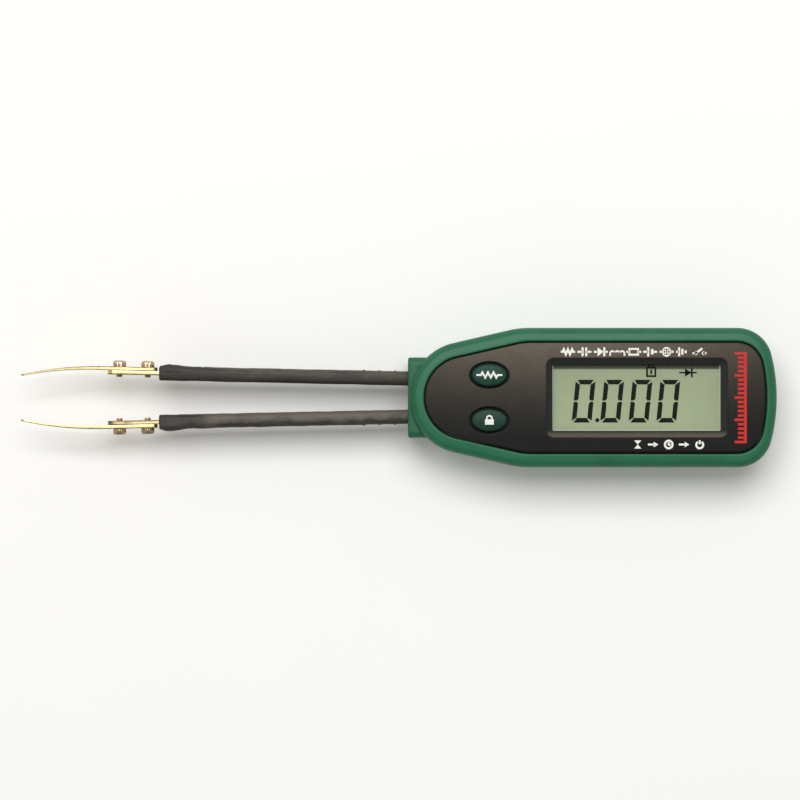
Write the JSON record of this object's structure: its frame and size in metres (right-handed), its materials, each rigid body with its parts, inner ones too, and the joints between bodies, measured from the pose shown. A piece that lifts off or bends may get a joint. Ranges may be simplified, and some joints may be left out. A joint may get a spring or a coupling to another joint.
{
  "type": "component tester",
  "caption": "Tweezer-style electronic component tester: a slim meter body with a display and two push buttons, and two sprung sleeved arms with curved gold tips.",
  "frame": {"origin": "middle of the overall length and width, on the back face that the tester lies on", "axes": "+X from the tips to the rear end of the body, +Y towards the function button's side, +Z out of the display"},
  "size_m": [0.1817, 0.0334, 0.0203],
  "materials": {
    "case": "satin moulded green plastic",
    "faceplate": "fine-textured dark grey plastic",
    "window": "clear polished pane",
    "display": "grey-green liquid crystal glass with dark segments",
    "holder": "white moulded plastic",
    "contact_rubber": "pink and black layered rubber",
    "board": "green solder mask on glass-fibre laminate",
    "chip": "black moulded package",
    "board_parts": "ceramic chip parts with tinned ends",
    "button": "dark green soft-touch plastic",
    "plunger": "black plastic",
    "switch": "stamped steel over black plastic",
    "cell": "nickel-plated can",
    "spring": "plated spring steel",
    "screw": "zinc-plated steel",
    "insulator": "white glass-filled plastic",
    "terminal": "brass plate",
    "lead_black": "black insulation",
    "lead_red": "red insulation",
    "strip": "gold-plated spring strip",
    "sleeve": "matt black shrink sleeve",
    "tip": "gold-plated blade",
    "tip_screw": "bronze-coloured plated brass",
    "label": "bare satin silver label"
  },
  "bodies": {
    "housing": {"top_case": "case", "bottom_case": "case", "faceplate": "faceplate", "display_window": "window", "display_glass": "display", "display_holder": "holder", "front_contact_strip": "contact_rubber", "rear_contact_strip": "contact_rubber", "circuit_board": "board", "main_chip": "chip", "board_parts": "board_parts", "function_switch": "switch", "hold_switch": "switch", "coin_cell": "cell", "battery_spring": "spring", "battery_side_contact": "spring", "battery_cover": "case", "battery_cover_screw": "screw", "case_screws": "screw", "board_screws": "screw", "arm_block": "insulator", "left_terminal": "terminal", "right_terminal": "terminal", "terminal_screws": "screw", "left_lead": "lead_black", "right_lead": "lead_red", "back_label": "label"},
    "left_arm": {"left_strip": "strip", "left_sleeve": "sleeve", "left_tip": "tip", "left_tip_screws": "tip_screw"},
    "right_arm": {"right_strip": "strip", "right_sleeve": "sleeve", "right_tip": "tip", "right_tip_screws": "tip_screw"},
    "function_key": {"function_button": "button", "function_plunger": "plunger"},
    "hold_key": {"hold_button": "button", "hold_plunger": "plunger"}
  },
  "joints": [
    {"name": "left_arm_flex", "type": "hinge", "parent": "housing", "child": "left_arm", "pos_m": [0.00758, -0.0045, 0.01], "axis": [0, 0, -1], "range_deg": [-1, 2.9], "stiffness_Nm_per_rad": 1.5},
    {"name": "right_arm_flex", "type": "hinge", "parent": "housing", "child": "right_arm", "pos_m": [0.00758, 0.0045, 0.01], "axis": [0, 0, 1], "range_deg": [-1, 2.9], "stiffness_Nm_per_rad": 1.5},
    {"name": "function_press", "type": "slide", "parent": "housing", "child": "function_key", "axis": [0, 0, -1], "range_m": [0, 0.0005], "stiffness_N_per_m": 200},
    {"name": "hold_press", "type": "slide", "parent": "housing", "child": "hold_key", "axis": [0, 0, -1], "range_m": [0, 0.0005], "stiffness_N_per_m": 200}
  ]
}
